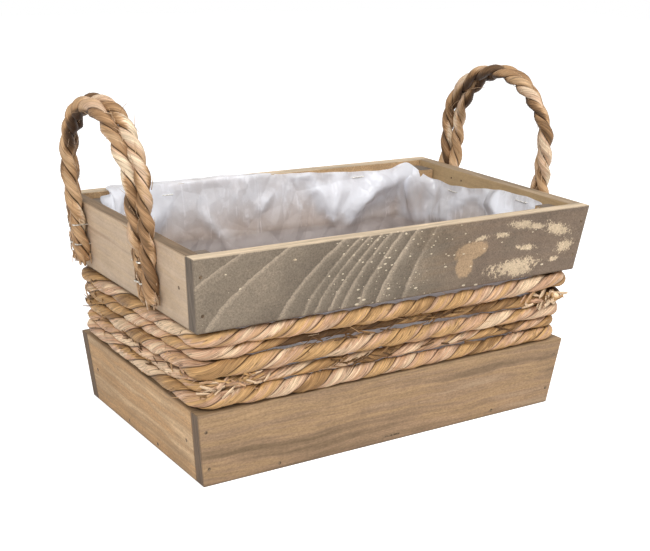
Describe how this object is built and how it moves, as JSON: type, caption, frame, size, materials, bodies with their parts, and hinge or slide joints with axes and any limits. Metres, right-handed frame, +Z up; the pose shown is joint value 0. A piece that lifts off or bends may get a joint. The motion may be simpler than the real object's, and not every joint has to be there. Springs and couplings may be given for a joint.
{
  "type": "trug garden basket",
  "caption": "Lined wooden planter trug: two leaning board frames on corner posts, rope wound between them, and a plaited carrying handle at each end.",
  "frame": {"origin": "middle of the base on the ground, under the middle of the crate", "axes": "+X along the long side towards the right-hand end as seen in front, +Y from front to back, +Z up"},
  "size_m": [0.3359, 0.1848, 0.2248],
  "materials": {
    "upper_board_wood": "grey-brown weathered softwood, matt, with pale grain lines and scuffs",
    "upper_end_wood": "pale beige weathered softwood, matt",
    "lower_board_wood": "warm brown-tan stained softwood, matt, fine level streaks",
    "post_wood": "bare pale softwood, sawn",
    "rope_fibre": "twisted dried water plant leaf, golden straw, low sheen",
    "plait_fibre": "plaited dried water plant leaf, golden straw, low sheen",
    "liner_film": "thin milky clear film, glossy and creased",
    "staple_steel": "zinc-plated staple wire",
    "nail_steel": "dull dark steel brad"
  },
  "bodies": {
    "crate": {"upper_front_board": "upper_board_wood", "upper_back_board": "upper_board_wood", "upper_left_board": "upper_end_wood", "upper_right_board": "upper_end_wood", "lower_front_board": "lower_board_wood", "lower_back_board": "lower_board_wood", "lower_left_board": "lower_board_wood", "lower_right_board": "lower_board_wood", "front_left_post": "post_wood", "front_right_post": "post_wood", "back_left_post": "post_wood", "back_right_post": "post_wood", "base_panel": "post_wood", "rope_wrap": "rope_fibre", "liner": "liner_film", "left_handle_front_leg": "plait_fibre", "left_handle_back_leg": "plait_fibre", "right_handle_front_leg": "plait_fibre", "right_handle_back_leg": "plait_fibre", "left_handle_staples": "staple_steel", "right_handle_staples": "staple_steel", "liner_staples": "staple_steel", "base_staples": "staple_steel", "upper_frame_nails": "nail_steel", "lower_frame_nails": "nail_steel", "post_nails": "nail_steel", "base_nails": "nail_steel"},
    "left_handle": {"left_handle_arch": "plait_fibre"},
    "right_handle": {"right_handle_arch": "plait_fibre"}
  },
  "joints": [
    {"name": "left_handle_tilt", "type": "hinge", "parent": "crate", "child": "left_handle", "pos_m": [-0.15556, 0.012, 0.15], "axis": [0, 1, 0], "range_deg": [-45, 35], "stiffness_Nm_per_rad": 0.1},
    {"name": "right_handle_tilt", "type": "hinge", "parent": "crate", "child": "right_handle", "pos_m": [0.15556, 0.012, 0.15], "axis": [0, 1, 0], "range_deg": [-35, 45], "stiffness_Nm_per_rad": 0.1}
  ]
}
